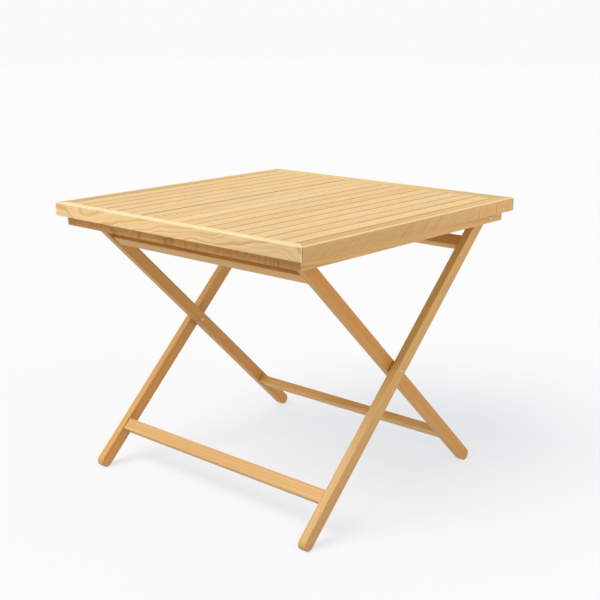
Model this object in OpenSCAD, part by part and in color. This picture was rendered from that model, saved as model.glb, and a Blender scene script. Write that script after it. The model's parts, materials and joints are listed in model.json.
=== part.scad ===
// Folding picnic table: a square slatted top on two crossed leg frames.
// Origin: on the floor under the middle of the top. X runs along the pivot bolts,
// Y along the slats with the hinged edge at +Y, Z up. Millimetres.

/* [Table top] */
// Length of each side of the square top
top_size = 800; // [780:1:820]
// Height of the top's upper face above the floor
table_h = 700; // [690:1:720]
// Height of the boards that frame the top
board_h = 32; // [30:1:36]
// Width of the boards that frame the top
board_w = 34; // [32:1:36]
// Width of the ledge in the front board that carries the slats' ends
front_ledge = 12; // [8:1:14]
// Extra width of the back board between the side boards
back_extra = 10; // [0:1:14]
// Number of slats
slat_count = 17; // [17:1:17]
// Width of one slat
slat_w = 40; // [38:0.5:40]
// Thickness of one slat
slat_t = 20; // [18:1:20]
// Extra width of the one wide gap between slats
wide_gap_extra = 2.5; // [0:0.5:4]
// Number of slats on the left of the wide gap
slats_left_of_wide_gap = 6; // [1:1:16]

/* [Frame under the top] */
// Distance of the under-frame in from the edge of the top
under_inset = 20; // [18:1:22]
// Height of the under-frame
under_h = 24; // [22:1:26]
// Thickness of the under-frame's strips
under_t = 20; // [18:1:20]
// Depth of the batten that the inner legs bear on
rest_d = 60; // [50:1:70]
// Width of a cross batten under the slats
cross_w = 50; // [40:1:50]

/* [Leg frames] */
// Depth of a leg, across its length and in the plane of the cross
leg_w = 31; // [30:1:32]
// Thickness of a leg along X
leg_t = 20; // [18:1:20]
// Distance of the hinge and of the feet from the middle
leg_spread = 328; // [322:1:332]
// Space between the side rail and the outer leg
hinge_space = 1; // [0.8:0.1:1.5]
// Space between the outer and the inner leg
pivot_space = 5; // [4:0.5:6]
// Width of a rail that joins two legs
rail_w = 32; // [28:1:34]
// Thickness of a rail that joins two legs
rail_t = 20; // [18:1:20]
// Lower rail of the outer legs: distance below the pivot, along the leg
outer_low_at = 349; // [340:1:352]
// Upper rail of the outer legs: distance above the pivot, along the leg
outer_high_at = 374; // [370:1:380]
// Lower rail of the inner legs: distance below the pivot, along the leg
inner_low_at = 336; // [330:1:338]
// Upper rail of the inner legs: distance above the pivot, along the leg
inner_high_at = 389; // [386:1:396]

/* [Bolts and screws] */
// Diameter of the round bolt heads
head_d = 10; // [9:0.5:11]
// Height of the round bolt heads
head_h = 2.4; // [2:0.1:3]
// Diameter of the bolt
bolt_d = 6; // [5:0.5:6]
// Outer diameter of the sleeve nut that the legs turn on
sleeve_d = 9; // [8.5:0.5:9]
// Diameter of a screw head
screw_head_d = 8; // [7:0.5:8]

/* [Hidden] */
$fn = 64;
running = 0.05;          // radial clearance of a turning fit
loose = 0.1;             // clearance of a joint that is glued or screwed
board_z = table_h - board_h;
under_z = board_z - under_h;
half = top_size / 2;
opening = top_size - 2 * board_w;
slat_z = table_h - slat_t;
slat_end_gap = 0.2;
slats_from_y = -opening / 2 - front_ledge;
slats_to_y = opening / 2 - back_extra;
gap = (opening - slat_count * slat_w - wide_gap_extra) / (slat_count + 1);
under_out = half - under_inset;
under_in = under_out - under_t;
cross_y = [-330, -47.5, 235];
rail_tenon = 14;         // length of a tenon into a leg
rail_tenon_w = rail_w * 0.6;
rail_tenon_t = rail_t * 0.6;
biscuit = [22, 18, 4];   // along the mitre, across it, and thick

hinge_z = under_z + under_h / 2;
foot_r = leg_w / 2;
pivot_z = (hinge_z + foot_r) / 2;
leg_half = norm([leg_spread, hinge_z - pivot_z]);
leg_angle = atan2(hinge_z - pivot_z, leg_spread);
rest_gap = 0.6;          // daylight between the inner legs and the batten above them
rest_z = under_z - rest_gap;
outer_x = under_in - hinge_space;
inner_x = outer_x - leg_t - pivot_space;
front_set = 3;           // how far a rail sits off the middle of the leg, towards the front

screw_d = 4;
screw_head_h = 2.6;
recess_len = 4.4;        // across the crossed recess in a screw's head
recess_w = 1;
recess_depth = 1.4;
slat_screw_len = 24;
frame_screw_len = 34;
rest_screw_len = 34;
rest_screw_y = cross_y[0] + 14;
frame_screw_line = half - 27;
frame_screw_at = [-250, 0, 250];
rest_screw_at = [-300, -100, 100, 300];
bolt_len = 34;
bolt_hole_d = bolt_d + 2 * loose;
hinge_washer_d = 16;
pivot_spacer_d = 18;
past = 1;                // how far a cut runs past the face it opens

pale = "#e6c795";
honey = "#c99455";
amber = "#b98043";
metal = "#b9bcc0";

slat_names = [for (i = [1:slat_count]) str("slat_", i < 10 ? "0" : "", i)];

// ---------- helpers ----------

// A box from its low corner to its high corner.
module span(low, high) {
    translate(low) cube(high - low);
}

// A rod along X between two places.
module x_rod(d, x0, x1) {
    translate([x0, 0, 0]) rotate([0, 90, 0]) cylinder(d = d, h = x1 - x0);
}

// A domed bolt head whose flat side is at x = 0 and whose dome points along +X.
module dome_head() {
    rim = 0.5;
    dome = head_h - rim;
    ball_r = (pow(head_d / 2, 2) + pow(dome, 2)) / (2 * dome);
    rotate([0, 90, 0]) rotate_extrude() intersection() {
        union() {
            square([head_d / 2, rim]);
            translate([0, head_h - ball_r]) circle(r = ball_r, $fn = 96);
        }
        square([head_d / 2, head_h]);
    }
}

// A countersunk screw pointing up, its flat head's face at z = 0, with a crossed recess.
module screw(len) {
    difference() {
        union() {
            cylinder(d1 = screw_head_d, d2 = screw_d, h = screw_head_h);
            cylinder(d = screw_d, h = len);
        }
        for (turn = [0, 90]) rotate([0, 0, turn])
            cube([recess_len, recess_w, 2 * recess_depth], center = true);
    }
}

// The hole for that screw.
module screw_hole(len) {
    cylinder(d1 = screw_head_d + 2 * loose, d2 = screw_d + 2 * loose, h = screw_head_h);
    cylinder(d = screw_d + 2 * loose, h = len + past);
}

// Moves from the leg's own axes (Y along the leg, Z across it) to the standing table.
module on_outer_leg() {
    translate([0, 0, pivot_z]) rotate([leg_angle, 0, 0]) children();
}

module on_inner_leg() {
    translate([0, 0, pivot_z]) mirror([0, 1, 0]) rotate([leg_angle, 0, 0]) children();
}

// Mirrors a right-hand piece to the given side: 1 is right, -1 is left.
module to_side(side) {
    if (side > 0) children();
    else mirror([1, 0, 0]) children();
}

// ---------- the top ----------

// Low X of a slat, counted from 0 at the left.
function slat_x(i) = -opening / 2 + gap + i * (slat_w + gap)
    + (i < slats_left_of_wide_gap ? 0 : wide_gap_extra);

module slat_screw_places(i) {
    for (y = cross_y) translate([slat_x(i) + slat_w / 2, y, board_z]) children();
}

module slat(i) {
    color(pale) difference() {
        span([slat_x(i), slats_from_y + slat_end_gap, slat_z],
             [slat_x(i) + slat_w, slats_to_y - slat_end_gap, table_h]);
        slat_screw_places(i) screw_hole(slat_screw_len);
    }
}

module frame_screw_places() {
    for (x = frame_screw_at, y = [-1, 1]) translate([x, y * frame_screw_line, under_z]) children();
    for (x = [-1, 1], y = frame_screw_at) translate([x * frame_screw_line, y, under_z]) children();
}

// The flat biscuits across the mitres, or with grow the slots that take them.
module biscuits(grow) {
    at = half - board_w / 2;
    for (x = [-1, 1], y = [-1, 1]) translate([x * at, y * at, board_z + board_h / 2])
        rotate([0, 0, x * y * 45]) cube(biscuit + 2 * grow * [1, 1, 1], center = true);
}

// A board of the top's frame along the +Y edge, with mitred ends.
module mitred_board() {
    translate([0, 0, board_z]) linear_extrude(board_h) polygon([
        [-half, half], [half, half], [opening / 2, opening / 2], [-opening / 2, opening / 2]
    ]);
}

// A board of the top's frame, turned to its edge, with any children joined on.
module frame_board(turn) {
    color(pale) difference() {
        union() {
            rotate([0, 0, turn]) mitred_board();
            children();
        }
        biscuits(loose);
        frame_screw_places() screw_hole(frame_screw_len);
    }
}

// The front board, with the ledge that the slats' ends lie on.
module end_board_front() {
    color(pale) difference() {
        frame_board(180);
        span([-opening / 2, slats_from_y, slat_z], [opening / 2, past - opening / 2, table_h + past]);
    }
}

// The back board, wider between the side boards.
module end_board_back() {
    frame_board(0) span([-opening / 2, slats_to_y, board_z], [opening / 2, opening / 2 + past, table_h]);
}

module corner_biscuits() { color(honey) biscuits(0); }

module cross_batten(y) {
    color(honey) difference() {
        span([-opening / 2, y - cross_w / 2, board_z], [opening / 2, y + cross_w / 2, slat_z]);
        for (i = [0:slat_count - 1]) slat_screw_places(i) screw_hole(slat_screw_len);
        rest_screw_places() screw_hole(rest_screw_len);
    }
}

// ---------- the frame under the top ----------

module under_strip(side) {
    y0 = side > 0 ? under_in : -under_out;
    color(honey) difference() {
        span([-under_in, y0, under_z], [under_in, y0 + under_t, board_z]);
        frame_screw_places() screw_hole(frame_screw_len);
    }
}

module side_rail(side) {
    x0 = side > 0 ? under_in : -under_out;
    color(pale) difference() {
        span([x0, -under_out, under_z], [x0 + under_t, under_out, board_z]);
        frame_screw_places() screw_hole(frame_screw_len);
        translate([x0, leg_spread, hinge_z]) x_rod(bolt_hole_d, -past, under_t + past);
    }
}

module rest_screw_places() {
    for (x = rest_screw_at) translate([x, rest_screw_y, under_z]) children();
}

module leg_rest_batten() {
    color(honey) difference() {
        span([-under_in, -under_in, under_z], [under_in, -under_in + rest_d, board_z]);
        rest_screw_places() screw_hole(rest_screw_len);
    }
}

// ---------- the leg frames ----------

// A leg about its pivot: Y along it, its middle at x = 0. top_len is how far the
// straight part runs above the pivot, and round_top ends it in a half circle.
module leg_blank(top_len, round_top) {
    translate([-leg_t / 2, 0, 0]) rotate([90, 0, 90]) linear_extrude(leg_t) {
        translate([-leg_half, -leg_w / 2]) square([leg_half + top_len, leg_w]);
        translate([-leg_half, 0]) circle(d = leg_w);
        if (round_top) translate([top_len, 0]) circle(d = leg_w);
    }
}

// The tenons of one rail, or with grow the mortises that take them.
module rail_tenons(at, set, inner_face, grow) {
    translate([0, at, set])
        cube([2 * (inner_face + rail_tenon), rail_tenon_w, rail_tenon_t] + 2 * grow * [1, 1, 1], center = true);
}

module rail(at, set, inner_face) {
    translate([0, at, set]) cube([2 * inner_face, rail_w, rail_t], center = true);
    rail_tenons(at, set, inner_face, 0);
}

module outer_leg(side) {
    color(honey) on_outer_leg() difference() {
        translate([side * (outer_x - leg_t / 2), 0, 0]) leg_blank(leg_half, true);
        to_side(side) x_rod(bolt_hole_d, outer_x - leg_t - past, outer_x + past);
        translate([0, leg_half, 0]) to_side(side)
            x_rod(sleeve_d + 2 * running, outer_x - leg_t - past, outer_x + past);
        rail_tenons(-outer_low_at, front_set, outer_x - leg_t, loose);
        rail_tenons(outer_high_at, 0, outer_x - leg_t, loose);
    }
}

module inner_leg(side) {
    color(amber) difference() {
        on_inner_leg() difference() {
            translate([side * (inner_x - leg_t / 2), 0, 0]) leg_blank(leg_half + leg_w, false);
            to_side(side) x_rod(sleeve_d + 2 * running, inner_x - leg_t - past, inner_x + past);
            rail_tenons(-inner_low_at, -front_set, inner_x - leg_t, loose);
            rail_tenons(inner_high_at, -front_set, inner_x - leg_t, loose);
        }
        translate([0, -leg_spread, rest_z + leg_w]) cube([top_size, 4 * leg_w, 2 * leg_w], center = true);
    }
}

module outer_lower_rail() { color(honey) on_outer_leg() rail(-outer_low_at, front_set, outer_x - leg_t); }
module outer_upper_rail() { color(amber) on_outer_leg() rail(outer_high_at, 0, outer_x - leg_t); }
module inner_lower_rail() { color(amber) on_inner_leg() rail(-inner_low_at, -front_set, inner_x - leg_t); }
module inner_upper_rail() { color(honey) on_inner_leg() rail(inner_high_at, -front_set, inner_x - leg_t); }

// ---------- bolts, nuts, washers and screws ----------

// A bolt that points inwards from x_face, where its head's flat side is.
module bolt(x_face) {
    color(metal) {
        translate([x_face, 0, 0]) dome_head();
        x_rod(bolt_d, x_face - bolt_len, x_face);
    }
}

// A sleeve nut: a tube from x_face outwards with a domed head on its inner end.
module sleeve_nut(x_face, len) {
    color(metal) difference() {
        union() {
            translate([x_face - running, 0, 0]) mirror([1, 0, 0]) dome_head();
            x_rod(sleeve_d, x_face - running, x_face + len);
        }
        x_rod(bolt_d + 2 * running, x_face + past, x_face + len + past);
    }
}

// A flat ring between two faces.
module ring(outer_d, hole_d, x0, x1) {
    color(metal) difference() {
        x_rod(outer_d, x0, x1);
        x_rod(hole_d, x0 - past, x1 + past);
    }
}

module at_hinge(side) { translate([0, leg_spread, hinge_z]) to_side(side) children(); }
module at_pivot(side) { translate([0, 0, pivot_z]) to_side(side) children(); }

module hinge_bolt(side) { at_hinge(side) bolt(under_out); }
module hinge_nut(side) { at_hinge(side) sleeve_nut(outer_x - leg_t, leg_t + running); }
module hinge_washer(side) {
    at_hinge(side) ring(hinge_washer_d, bolt_hole_d, outer_x + 2 * running, under_in);
}
module pivot_bolt(side) { at_pivot(side) bolt(outer_x); }
module pivot_nut(side) { at_pivot(side) sleeve_nut(inner_x - leg_t, leg_t + pivot_space); }
module pivot_spacer(side) {
    at_pivot(side) ring(pivot_spacer_d, sleeve_d + 2 * running, inner_x + running, outer_x - leg_t);
}

module slat_screws() {
    color(metal) for (i = [0:slat_count - 1]) slat_screw_places(i) screw(slat_screw_len);
}
module frame_screws() { color(metal) frame_screw_places() screw(frame_screw_len); }
module rest_screws() { color(metal) rest_screw_places() screw(rest_screw_len); }

// ---------- the nodes ----------

for (i = [0:slat_count - 1]) slat(i);
end_board_front();
end_board_back();
frame_board(90);  // side_board_left
frame_board(-90);  // side_board_right
corner_biscuits();
cross_batten(cross_y[0]);  // cross_batten_front
cross_batten(cross_y[1]);  // cross_batten_middle
cross_batten(cross_y[2]);  // cross_batten_back
under_strip(-1);  // under_strip_front
under_strip(1);  // under_strip_back
side_rail(-1);  // side_rail_left
side_rail(1);  // side_rail_right
leg_rest_batten();
outer_leg(-1);  // outer_leg_left
outer_leg(1);  // outer_leg_right
outer_lower_rail();
outer_upper_rail();
inner_leg(-1);  // inner_leg_left
inner_leg(1);  // inner_leg_right
inner_lower_rail();
inner_upper_rail();
hinge_bolt(-1);  // hinge_bolt_left
hinge_bolt(1);  // hinge_bolt_right
hinge_nut(-1);  // hinge_nut_left
hinge_nut(1);  // hinge_nut_right
hinge_washer(-1);  // hinge_washer_left
hinge_washer(1);  // hinge_washer_right
pivot_bolt(-1);  // pivot_bolt_left
pivot_bolt(1);  // pivot_bolt_right
pivot_nut(-1);  // pivot_nut_left
pivot_nut(1);  // pivot_nut_right
pivot_spacer(-1);  // pivot_spacer_left
pivot_spacer(1);  // pivot_spacer_right
slat_screws();
frame_screws();
rest_screws();
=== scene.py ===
"""Folding picnic table: grained wood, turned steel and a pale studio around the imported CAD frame."""
import json
from math import atan2, radians

import bpy
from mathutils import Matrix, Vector


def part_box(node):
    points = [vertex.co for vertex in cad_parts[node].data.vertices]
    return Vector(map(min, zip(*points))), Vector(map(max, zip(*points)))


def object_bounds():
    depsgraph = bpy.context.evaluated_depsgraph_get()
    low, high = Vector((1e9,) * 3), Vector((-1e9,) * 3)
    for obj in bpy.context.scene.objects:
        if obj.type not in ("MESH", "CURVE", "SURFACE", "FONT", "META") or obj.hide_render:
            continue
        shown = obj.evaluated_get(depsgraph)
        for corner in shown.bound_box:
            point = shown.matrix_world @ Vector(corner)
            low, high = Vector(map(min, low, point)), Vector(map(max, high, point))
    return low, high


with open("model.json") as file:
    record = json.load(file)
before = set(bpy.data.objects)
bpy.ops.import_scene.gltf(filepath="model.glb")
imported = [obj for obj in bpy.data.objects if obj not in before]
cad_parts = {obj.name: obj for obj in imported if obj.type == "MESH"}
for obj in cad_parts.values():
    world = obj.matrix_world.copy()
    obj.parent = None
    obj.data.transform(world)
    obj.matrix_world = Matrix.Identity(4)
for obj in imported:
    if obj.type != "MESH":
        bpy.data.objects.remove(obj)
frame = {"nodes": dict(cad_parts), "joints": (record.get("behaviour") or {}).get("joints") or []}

CAD_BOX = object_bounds()
NODES = frame["nodes"]
JOINTS = {joint["name"]: Vector(joint["pos_m"]) for joint in frame["joints"]}
HINGE = JOINTS["leg_fold"]
PIVOT = JOINTS["leg_scissor"]
LEG_ANGLE = atan2(HINGE.z - PIVOT.z, HINGE.y - PIVOT.y)
TOP_Z = CAD_BOX[1].z
TOP_EDGE = CAD_BOX[1].x
SLAT_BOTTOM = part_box("slat_01")[0].z

# ---------- wood: directions, colours and scales ----------

# Rotations that bring a piece's grain to run along Y.
ALONG_Y = (0, 0, 0)
ALONG_X = (0, 0, radians(90))
ALONG_OUTER_LEG = (-LEG_ANGLE, 0, 0)
ALONG_INNER_LEG = (LEG_ANGLE, 0, 0)

# End grain drinks more oil than the faces do.
END_GRAIN = "#a47033"
END_GRAIN_SHARE = 0.75
# A painted highlight pales the top's outer edges, where they catch the light. A painted shade darkens the
# upright corner where a mitre meets it.
PAINTED_EDGE_HIGHLIGHT = "#f3dfb4"
PAINTED_EDGE_HIGHLIGHT_SHARE = 0.6
# Painted shade for the upright corner at the mitre, and how strong it is.
PAINTED_MITRE_SHADE = "#5c3d22"
PAINTED_MITRE_SHADE_SHARE = 0.85
# How far from the top's edges the two begin. They are full at a third of it.
ARRIS_REACH = 0.003

# Noise cells per metre, across the grain, along it and across again.
KNOT_CELLS = (14.0, 9.0, 14.0)
FIBRE_CELLS = (1500.0, 14.0, 1500.0)
STREAK_CELLS = (160.0, 1.6, 160.0)
BAND_CELLS = (60.0, 1.2, 60.0)
PORE_CELLS = (2400.0, 60.0, 2400.0)
BEND_CELLS_ACROSS = 9.0
# How far a piece's chance numbers move its noise, so that no two pieces look alike.
PIECE_SHIFT = (7.0, 11.0, 5.0)
# How dark the wood is across one growth ring, from its start to its end.
RING_PROFILE = ((0.0, 0.35), (0.12, 0.0), (0.5, 0.12), (0.86, 1.0), (1.0, 0.35))
PORE_DEPTH = 0.22
MIDDLE = (0.5, 0.5, 0.5)

# ---------- metal ----------

LATHE_MARKS_PER_M = 9000.0
BRIGHT_STEEL = "#c9ccd0"

# ---------- studio: floor, light and camera ----------

FLOOR_SIZE = 40.0
FLOOR_COLOUR = (0.263, 0.228, 0.19, 1.0)
FLOOR_GLOW = (0.604, 0.656, 0.713, 1.0)
# How high above the horizon a direction points, from 0 to 1, and the light that comes from there.
SKY = (
    (0.0, (0.965, 0.965, 0.965)),
    (0.03, (0.965, 0.965, 0.965)),
    (0.1, (0.38, 0.345, 0.27)),
    (0.5, (0.32, 0.305, 0.26)),
    (1.0, (0.9, 0.9, 0.9)),
)
# Name, where the light comes from, strength, spread in degrees and colour.
LAMPS = (
    ("Key", (-0.17, -0.57, 0.81), 3.02, 46, (0.95, 1.0, 1.08)),
    ("Warm fill", (1.0, -0.1, 0.3), 1.15, 60, (1.0, 0.62, 0.22)),
)

# The camera that fits the photo best, in metres, degrees and millimetres.
CAMERA_AT = (1.7697, -1.9527, 1.1386)
CAMERA_LOOKS_DOWN = 14.76
CAMERA_TURNED = 41.51
LENS_MM = 64.7
SENSOR_MM = 36.0


# ---------- node helpers ----------

class Shader:
    """A material's node tree, filled one node at a time."""

    def __init__(self, name):
        self.material = bpy.data.materials.new(name)
        self.material.use_nodes = True
        self.tree = self.material.node_tree
        self.tree.nodes.clear()

    def add(self, kind, inputs, **settings):
        node = self.tree.nodes.new(kind)
        for name, value in settings.items():
            setattr(node, name, value)
        for socket, value in inputs.items():
            if isinstance(value, bpy.types.NodeSocket):
                self.tree.links.new(value, node.inputs[socket])
            else:
                node.inputs[socket].default_value = value
        return node

    def coordinate(self, output):
        return self.add("ShaderNodeTexCoord", {}).outputs[output]

    def axis(self, vector, letter):
        return self.add("ShaderNodeSeparateXYZ", {0: vector}).outputs[letter]

    def combine(self, x, y, z):
        return self.add("ShaderNodeCombineXYZ", {0: x, 1: y, 2: z}).outputs[0]

    def turn(self, vector, rotation, kind="POINT"):
        inputs = {"Vector": vector, "Rotation": rotation}
        return self.add("ShaderNodeMapping", inputs, vector_type=kind).outputs[0]

    def math(self, operation, a, b=0.0):
        return self.add("ShaderNodeMath", {0: a, 1: b}, operation=operation).outputs[0]

    def vector(self, operation, a, b=(0, 0, 0)):
        node = self.add("ShaderNodeVectorMath", {0: a, 1: b}, operation=operation)
        return node.outputs["Value" if operation == "LENGTH" else "Vector"]

    def noise(self, place, scale=1.0, detail=2.0, roughness=0.5, output="Fac"):
        inputs = {"Vector": place, "Scale": scale, "Detail": detail, "Roughness": roughness}
        return self.add("ShaderNodeTexNoise", inputs).outputs[output]

    def line_noise(self, place, scale, detail):
        """Noise along a line, where place is one number."""
        inputs = {"W": place, "Scale": scale, "Detail": detail}
        return self.add("ShaderNodeTexNoise", inputs, noise_dimensions="1D").outputs["Fac"]

    def stretch(self, low, high, value, to_low=0.0, to_high=1.0):
        """Maps low to to_low and high to to_high, and goes no further outside them."""
        inputs = {"Value": value, "From Min": low, "From Max": high, "To Min": to_low, "To Max": to_high}
        return self.add("ShaderNodeMapRange", inputs).outputs[0]

    def blend(self, factor, a, b, mode="MIX"):
        node = self.add("ShaderNodeMix", {0: factor, 6: a, 7: b}, data_type="RGBA", blend_type=mode)
        return node.outputs[2]

    def ramp(self, factor, stops):
        node = self.add("ShaderNodeValToRGB", {"Fac": factor})
        set_stops(node.color_ramp, [(position, (grey, grey, grey)) for position, grey in stops])
        return node.outputs[0]

    def bump(self, height, strength, distance):
        inputs = {"Strength": strength, "Distance": distance, "Height": height}
        return self.add("ShaderNodeBump", inputs).outputs[0]

    def finish(self, inputs):
        surface = self.add("ShaderNodeBsdfPrincipled", inputs)
        self.add("ShaderNodeOutputMaterial", {"Surface": surface.outputs[0]})
        return self.material


def set_stops(ramp, stops):
    """Gives a new colour ramp its stops, each a position and a colour."""
    while len(ramp.elements) < len(stops):
        ramp.elements.new(0.5)
    for element, (position, colour) in zip(ramp.elements, stops):
        element.position = position
        element.color = (*colour, 1)


def linear(hex_colour):
    """A colour written as its sRGB hex, as the linear values the shaders use."""
    channels = [int(hex_colour[i:i + 2], 16) / 255 for i in (1, 3, 5)]
    return tuple(c / 12.92 if c <= 0.04045 else ((c + 0.055) / 1.055) ** 2.4 for c in channels) + (1.0,)


# ---------- wood ----------

def piece_chance(s):
    """Three numbers from -0.5 to 0.5 that are the same all over a piece and differ between pieces."""
    index = s.add("ShaderNodeObjectInfo", {}).outputs["Object Index"]
    chance = s.add("ShaderNodeTexWhiteNoise", {"W": index}, noise_dimensions="1D").outputs["Color"]
    return s.vector("SUBTRACT", chance, MIDDLE)


def heart_distance(s, place, own, chance, heart, lean, sway, sway_per_m, scatter):
    """How far a point is from the log's axis, with the axis leaning and the rings bent by noise."""
    bend_cells = (BEND_CELLS_ACROSS, sway_per_m, BEND_CELLS_ACROSS)
    bend = s.noise(s.vector("MULTIPLY", own, bend_cells), detail=1.5, output="Color")
    bend = s.vector("MULTIPLY", s.vector("SUBTRACT", bend, MIDDLE), (2 * sway, 0, 2 * sway))
    along = s.axis(place, "Y")
    drift = s.vector("MULTIPLY", s.combine(along, 0.0, along), (lean[0], 0, lean[1]))
    own_heart = s.vector("MULTIPLY", chance, (2 * scatter[0], 0, 2 * scatter[1]))
    across = s.vector("MULTIPLY", place, (1, 0, 1))
    across = s.vector("SUBTRACT", across, (heart[0], 0, heart[1]))
    for part in (bend, drift, own_heart):
        across = s.vector("ADD", across, part)
    return s.vector("LENGTH", across)


def growth_rings(s, distance, ring):
    """How much of the wood is dark late wood, with rings of uneven width and strength."""
    rings = s.math("DIVIDE", distance, ring)
    uneven = s.line_noise(rings, scale=0.35, detail=2.0)
    rings = s.math("ADD", rings, s.math("MULTIPLY", uneven, 1.6))
    late_wood = s.ramp(s.math("FRACT", rings), RING_PROFILE)
    strength = s.line_noise(s.math("FLOOR", rings), scale=0.73, detail=0.0)
    return s.math("MULTIPLY", late_wood, s.stretch(0.3, 0.7, strength, 0.25, 1.0))


def knotty_rings(s, distance, own, ring, bulge):
    """Growth rings that bulge around small dark knots."""
    cells = s.add("ShaderNodeTexVoronoi", {"Vector": s.vector("MULTIPLY", own, KNOT_CELLS), "Scale": 1.0})
    from_knot = cells.outputs["Distance"]
    distance = s.math("ADD", distance, s.stretch(0.0, 0.5, from_knot, bulge, 0.0))
    knot = s.stretch(0.05, 0.14, from_knot, 1.0, 0.0)
    return s.math("MAXIMUM", growth_rings(s, distance, ring), knot)


def tones(s, colour, own, fibre, pore, along, chance, tone, fade):
    """Lightens and darkens the colour by its fibres, streaks and pores, and from piece to piece."""
    streak = s.noise(s.vector("MULTIPLY", own, STREAK_CELLS), detail=3.0, roughness=0.6)
    fibres = s.stretch(0.25, 0.75, fibre, -0.06, 0.06)
    grey = s.math("ADD", fibres, s.stretch(0.25, 0.75, streak, -0.09, 0.09))
    grey = s.math("ADD", grey, s.math("MULTIPLY", s.axis(chance, "Y"), 2 * tone))
    if fade:
        start, stop, amount = fade
        grey = s.math("SUBTRACT", grey, s.stretch(start, stop, along, 0.0, amount))
    shade = s.math("ADD", s.math("SUBTRACT", grey, s.math("MULTIPLY", pore, PORE_DEPTH)), 1.0)
    return s.blend(1.0, colour, s.combine(shade, shade, shade), mode="MULTIPLY")


def end_grain(s, colour, turn):
    """Gives the faces across the grain the colour of end grain."""
    facing = s.turn(s.coordinate("Normal"), turn, kind="VECTOR")
    end = s.math("ABSOLUTE", s.axis(facing, "Y"))
    return s.blend(s.stretch(0.8, 0.95, end, 0.0, END_GRAIN_SHARE), colour, linear(END_GRAIN))


def paint_edge_highlight_and_shade(s, colour, rest, width, painted_mitre_shade):
    """Paints a highlight on the top's upper face as far as width from its outer edge, and on its upright
    corners.
    With painted_mitre_shade the upright corners get painted shade instead."""
    x, y, z = s.add("ShaderNodeSeparateXYZ", {0: rest}).outputs
    x = s.math("ABSOLUTE", x)
    y = s.math("ABSOLUTE", y)
    full = ARRIS_REACH / 3
    high = s.stretch(TOP_Z - ARRIS_REACH, TOP_Z - full, z)
    rim = s.stretch(TOP_EDGE - width, TOP_EDGE - 0.8 * width, s.math("MAXIMUM", x, y))
    rim = s.math("MULTIPLY", high, rim)
    corner = s.stretch(TOP_EDGE - ARRIS_REACH, TOP_EDGE - full, s.math("MINIMUM", x, y))
    # Painted shade darkens the upright corners below the top, along the mitre.
    if painted_mitre_shade:
        corner = s.math("MULTIPLY", corner, s.math("SUBTRACT", 1.0, high))
        colour = s.blend(s.math("MULTIPLY", corner, PAINTED_MITRE_SHADE_SHARE), colour, linear(PAINTED_MITRE_SHADE))
    else:
        # The upright corners get painted highlight too.
        rim = s.math("MAXIMUM", rim, corner)
    return s.blend(s.math("MULTIPLY", rim, PAINTED_EDGE_HIGHLIGHT_SHARE), colour, linear(PAINTED_EDGE_HIGHLIGHT))


def paint_gap_shade(s, colour, rest, gap_shade_colour):
    """Paints shade on the slats' sides, which show as lines between the slats, with a darker, warmer
    colour than their tops.
    """
    height = s.axis(rest, "Z")
    below_top = s.stretch(TOP_Z - 0.00003, TOP_Z - 0.0003, height, 0.0, 0.9)
    above_bottom = s.stretch(SLAT_BOTTOM + 0.001, SLAT_BOTTOM + 0.002, height)
    return s.blend(s.math("MULTIPLY", below_top, above_bottom), colour, linear(gap_shade_colour))


def wood(name, turn, early, late, golden, ring=0.0035, heart=(0.02, -0.12), lean=(0.01, 0.006),
         sway=0.004, sway_per_m=2.5, contrast=0.6, gold=0.5, tone=0.06, scatter=(0.05, 0.03),
         fade=None, knots=0.0, painted_highlight_width=0.0, painted_mitre_shade=False, gap_shade_colour=None):
    """Timber as a slice of a log, with lengths in metres.

    turn brings the grain to run along Y. early and late are the colours of a ring's pale and dark
    parts, and contrast is how far late shows. golden is the colour of slow bands, and gold how far
    it is blended in. ring is the width of a growth ring, heart where the log's axis runs across and
    under the piece, and lean how far it drifts per metre. sway is how much the rings bend along the
    grain, at sway_per_m cells per metre. scatter is how much the heart differs from piece to piece,
    and tone how much their lightness does. fade is where along the piece it starts and stops to
    darken and by how much. knots is how far the rings bulge around knots. painted_highlight_width is
    the width of the top's rim of painted highlight, painted_mitre_shade paints shade into its upright
    corners, and gap_shade_colour is the colour painted on the slats' sides as the shade between them."""
    s = Shader(name)
    rest = s.coordinate("Object")
    place = s.turn(rest, turn)
    chance = piece_chance(s)
    own = s.vector("ADD", place, s.vector("MULTIPLY", chance, PIECE_SHIFT))

    distance = heart_distance(s, place, own, chance, heart, lean, sway, sway_per_m, scatter)
    late_wood = knotty_rings(s, distance, own, ring, knots) if knots else growth_rings(s, distance, ring)
    fibre = s.noise(s.vector("MULTIPLY", own, FIBRE_CELLS), detail=2.0, roughness=0.6)
    band = s.noise(s.vector("MULTIPLY", own, BAND_CELLS), detail=2.0)
    pore = s.stretch(0.68, 0.8, s.noise(s.vector("MULTIPLY", own, PORE_CELLS), detail=1.0))

    colour = s.blend(s.math("MULTIPLY", late_wood, contrast), linear(early), linear(late))
    colour = s.blend(s.stretch(0.5, 0.8, band, 0.0, gold), colour, linear(golden))
    colour = tones(s, colour, own, fibre, pore, s.axis(place, "Y"), chance, tone, fade)
    colour = end_grain(s, colour, turn)
    # Painted highlight on the top's rim and corners, and painted shade at the mitres where asked.
    if painted_highlight_width:
        colour = paint_edge_highlight_and_shade(s, colour, rest, painted_highlight_width, painted_mitre_shade)
    # Painted shade on the slats' sides, which show as the lines between slats.
    if gap_shade_colour:
        colour = paint_gap_shade(s, colour, rest, gap_shade_colour)

    relief = s.math("ADD", s.math("MULTIPLY", fibre, 0.6), s.math("MULTIPLY", late_wood, 0.3))
    relief = s.math("SUBTRACT", relief, pore)
    return s.finish({"Base Color": colour, "Roughness": s.stretch(0.2, 0.8, fibre, 0.44, 0.6),
                     "Normal": s.bump(relief, strength=0.35, distance=0.00015),
                     "Specular IOR Level": 0.4})


# ---------- metal ----------

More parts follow.
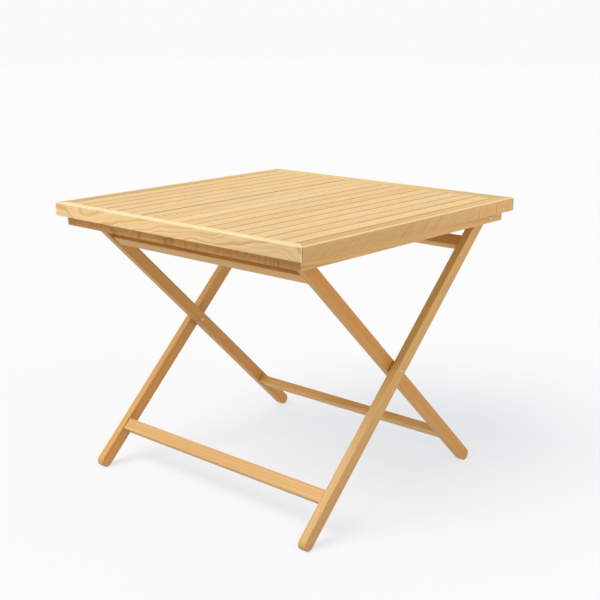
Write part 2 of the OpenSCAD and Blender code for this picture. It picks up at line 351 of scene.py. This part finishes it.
def steel(name, axes, shade):
    """Turned steel with fine lathe marks around axes that run along X, each given by a point."""
    s = Shader(name)
    rest = s.coordinate("Object")
    nearest = None
    for axis in axes:
        away = s.vector("MULTIPLY", s.vector("SUBTRACT", rest, (0, axis.y, axis.z)), (0, 1, 1))
        distance = s.vector("LENGTH", away)
        nearest = distance if nearest is None else s.math("MINIMUM", nearest, distance)
    marks = s.line_noise(s.math("MULTIPLY", nearest, LATHE_MARKS_PER_M), scale=5.0, detail=2.0)
    smudge = s.noise(rest, scale=260.0, detail=3.0)
    colour = s.blend(s.stretch(0.3, 0.7, smudge), linear(shade), linear(BRIGHT_STEEL))
    roughness = s.math("ADD", s.stretch(0.3, 0.7, marks, 0.2, 0.34), s.math("MULTIPLY", smudge, 0.08))
    return s.finish({"Base Color": colour, "Metallic": 1.0, "Roughness": roughness,
                     "Normal": s.bump(marks, strength=0.3, distance=0.00005)})


# ---------- finishes on the CAD nodes ----------

def ease(piece, width):
    """Rounds the piece's arrises, as sanding does."""
    weld = piece.modifiers.new("Weld", "WELD")
    weld.merge_threshold = 0.00001
    flat = piece.modifiers.new("Flat faces", "DECIMATE")
    flat.decimate_type = "DISSOLVE"
    flat.angle_limit = radians(0.5)
    bevel = piece.modifiers.new("Eased arris", "BEVEL")
    bevel.width = width
    bevel.segments = 3
    bevel.limit_method = "ANGLE"
    bevel.angle_limit = radians(50)
    bevel.miter_outer = "MITER_ARC"
    smooth = piece.modifiers.new("Smooth arris", "WEIGHTED_NORMAL")
    smooth.keep_sharp = True


def dress(beginnings, material, arris=0.0):
    """Gives the nodes whose names start so their material, and wooden ones their eased arrises."""
    for index, name in enumerate(sorted(NODES), start=1):
        if not name.startswith(beginnings):
            continue
        piece = NODES[name]
        piece.pass_index = index
        for slot in piece.material_slots:
            slot.material = material
        if arris:
            ease(piece, arris)


def dress_slats():
    # The slats' sides get a darker, warmer colour as painted shade between the slats.
    slat = wood("Slat wood", ALONG_Y, "#dabd8c", "#b98f55", "#d8a85c", ring=0.0045,
                heart=(0.0, TOP_Z - 0.2), tone=0.05, gold=0.8, gap_shade_colour="#c88838")
    dress(("slat_0", "slat_1"), slat, arris=0.0015)


def dress_boards():
    # The front board's whole top face gets painted highlight, the back board only a thin rim.
    for place, highlight_rim_width in (("front", 0.024), ("back", 0.004)):
        board = wood(f"{place.title()} board wood", ALONG_X, "#d9ba85", "#ba8842", "#d4a862", ring=0.003,
                     heart=(0.3, TOP_Z + 0.01), lean=(0.03, 0.02), sway=0.018, sway_per_m=5.0, tone=0.0,
                     contrast=0.8, fade=(0.0, 0.4, 0.24), painted_highlight_width=highlight_rim_width)
        dress((f"end_board_{place}",), board, arris=0.002)
    # The side boards get a thin rim of painted highlight and painted shade at their mitred corners.
    side = wood("Side board wood", ALONG_Y, "#d3b27a", "#b07d36", "#cda05c", ring=0.0012,
                heart=(0.1, TOP_Z - 0.058), lean=(-0.1, -0.105), sway=0.003, tone=0.0, gold=0.3,
                contrast=0.72, scatter=(0.0, 0.0), fade=(0.3, -0.1, 0.13), painted_highlight_width=0.006, painted_mitre_shade=True)
    dress(("side_board",), side, arris=0.002)


def dress_hidden_wood():
    under = wood("Batten wood", ALONG_X, "#b27d3a", "#85521f", "#ad7330", ring=0.004, heart=(0.0, 0.6))
    dress(("cross_batten", "leg_rest_batten"), under, arris=0.001)
    dress(("corner_biscuits",), under)


def dress_under_frame():
    strip = wood("Strip wood", ALONG_X, "#c08d45", "#834d16", "#b97e31", ring=0.004, heart=(-0.3, 0.64),
                 lean=(0.12, 0.02), sway=0.018, sway_per_m=8.0, contrast=0.7, knots=0.02,
                 fade=(0.0, 0.35, 0.15))
    dress(("under_strip",), strip, arris=0.0015)
    rail = wood("Side rail wood", ALONG_Y, "#d0ae76", "#ab7f44", "#cc9e58", ring=0.003, heart=(0.2, 0.6))
    dress(("side_rail",), rail, arris=0.0015)


def dress_legs():
    pale = ("#cda76a", "#a4743a", "#c69854")
    deep = ("#c29350", "#97642b", "#bb843a")
    for kind, turn, colours, fade in (("outer_leg_right", ALONG_OUTER_LEG, pale, (0.3, -0.25, 0.16)),
                                      ("outer_leg_left", ALONG_OUTER_LEG, deep, None),
                                      ("inner_leg", ALONG_INNER_LEG, deep, None)):
        timber = wood(kind.replace("_", " ").capitalize() + " wood", turn, *colours, ring=0.003,
                      heart=(0.1, -0.08), fade=fade)
        dress((kind,), timber, arris=0.002)


def dress_leg_rails():
    golden = ("#cb9e5e", "#a06e33", "#c38e46")
    paler = ("#c39a60", "#986a34", "#bb8a45")
    for name, colours, kinds in (("Rail wood", golden, ("outer_upper", "inner_lower", "inner_upper")),
                                 ("Front rail wood", paler, ("outer_lower",))):
        timber = wood(name, ALONG_X, *colours, ring=0.003, heart=(0.1, 0.3))
        dress(kinds, timber, arris=0.002)


def dress_metal():
    dress(("hinge_", "pivot_"), steel("Turned steel", (HINGE, PIVOT), "#a9adb2"))
    dress(("slat_screws", "frame_screws", "rest_screws"), steel("Screw steel", (HINGE,), "#b2b4b6"))


# ---------- studio ----------

def floor():
    """A white studio floor lit from within, so that the shadows on it stay faint."""
    s = Shader("Floor")
    mottle = s.stretch(0.3, 0.7, s.noise(s.coordinate("Object"), scale=3.0), 0.99, 1.0)
    paint = s.blend(1.0, FLOOR_COLOUR, s.combine(mottle, mottle, mottle), mode="MULTIPLY")
    material = s.finish({"Base Color": paint, "Roughness": 0.9, "Specular IOR Level": 0.0,
                         "Emission Color": FLOOR_GLOW, "Emission Strength": 1.0})
    bpy.ops.mesh.primitive_plane_add(size=FLOOR_SIZE, location=(0, 0, CAD_BOX[0].z))
    sheet = bpy.context.object
    sheet.name = "Floor"
    sheet.data.materials.append(material)


def sun(name, comes_from, strength, spread, colour):
    data = bpy.data.lights.new(name, "SUN")
    data.energy = strength
    data.color = colour
    data.angle = radians(spread)
    lamp = bpy.data.objects.new(name, data)
    lamp.rotation_euler = (-Vector(comes_from)).to_track_quat("-Z", "Y").to_euler()
    bpy.context.collection.objects.link(lamp)


def sky():
    """White at the horizon, where it meets the floor, dimmer above it and brighter overhead."""
    world = bpy.data.worlds.new("Studio")
    bpy.context.scene.world = world
    world.use_nodes = True
    nodes = world.node_tree.nodes
    links = world.node_tree.links
    direction = nodes.new("ShaderNodeTexCoord").outputs["Generated"]
    parts = nodes.new("ShaderNodeSeparateXYZ")
    ramp = nodes.new("ShaderNodeValToRGB")
    links.new(direction, parts.inputs[0])
    links.new(parts.outputs["Z"], ramp.inputs[0])
    set_stops(ramp.color_ramp, SKY)
    links.new(ramp.outputs[0], nodes["Background"].inputs["Color"])


def lights():
    sky()
    for lamp in LAMPS:
        sun(*lamp)
    bpy.context.scene.view_settings.view_transform = "Standard"


def camera():
    data = bpy.data.cameras.new("Camera")
    data.sensor_width = SENSOR_MM
    data.lens = LENS_MM
    eye = bpy.data.objects.new("Camera", data)
    eye.location = CAMERA_AT
    eye.rotation_euler = (radians(90 - CAMERA_LOOKS_DOWN), 0, radians(CAMERA_TURNED))
    bpy.context.collection.objects.link(eye)
    bpy.context.scene.camera = eye


camera()
dress_slats()
dress_boards()
dress_hidden_wood()
dress_under_frame()
dress_legs()
dress_leg_rails()
dress_metal()
floor()
lights()
